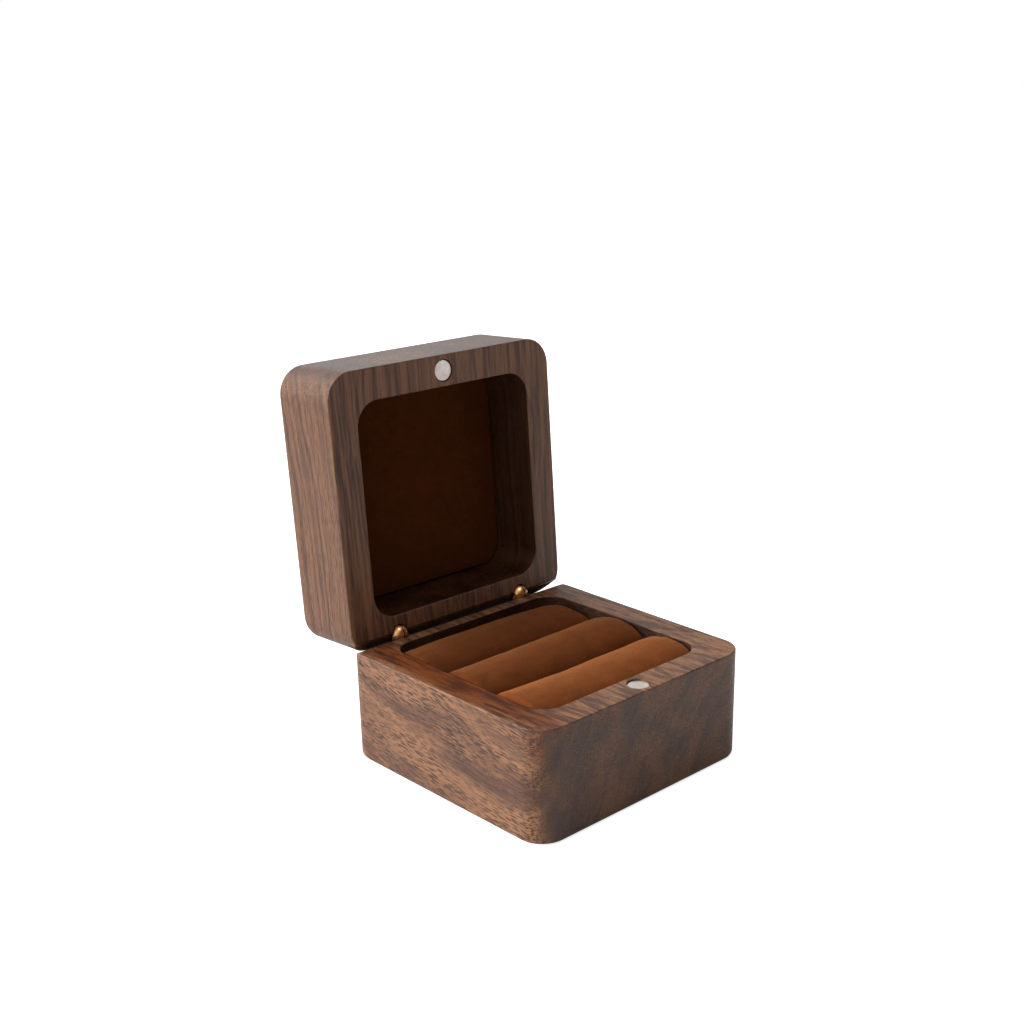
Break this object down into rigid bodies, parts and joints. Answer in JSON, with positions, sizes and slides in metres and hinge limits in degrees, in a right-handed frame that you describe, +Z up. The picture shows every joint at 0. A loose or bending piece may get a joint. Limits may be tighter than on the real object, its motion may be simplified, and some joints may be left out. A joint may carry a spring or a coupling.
{
  "type": "ring box",
  "caption": "Small square hinged wooden box with a magnetic lid and soft padded rolls that hold finger rings upright between them.",
  "frame": {"origin": "centre of the base's flat underside, the face that the box stands on", "axes": "+Z up, +X to the right along the hinge line, -Y towards the front edge with the magnet; at rest the lid stands open"},
  "size_m": [0.06, 0.0786, 0.0823],
  "materials": {
    "walnut": "satin oiled walnut with open dark pores",
    "saddle_suede": "saddle brown microsuede with a short soft nap",
    "dark_suede": "very dark brown microsuede",
    "brass": "turned brass, lightly polished",
    "steel_pin": "plain drawn steel",
    "nickel": "nickel plated, slightly warm satin",
    "card": "plain grey-brown card",
    "foam": "open-cell foam"
  },
  "bodies": {
    "base": {"base_block": "walnut", "base_magnet": "nickel", "insert_board": "card", "roll_core_front": "foam", "roll_cover_front": "saddle_suede", "roll_core_middle": "foam", "roll_cover_middle": "saddle_suede", "roll_core_rear": "foam", "roll_cover_rear": "saddle_suede", "hinge_left_base_barrel": "brass", "hinge_left_pin": "steel_pin", "hinge_right_base_barrel": "brass", "hinge_right_pin": "steel_pin"},
    "lid": {"lid_block": "walnut", "lid_magnet": "nickel", "lid_lining_board": "card", "lid_lining_suede": "dark_suede", "hinge_left_lid_barrel": "brass", "hinge_right_lid_barrel": "brass"}
  },
  "joints": [
    {"name": "lid_hinge", "type": "hinge", "parent": "base", "child": "lid", "pos_m": [0, 0.0275, 0.0249], "axis": [1, 0, 0], "range_deg": [0, 93.5]}
  ]
}
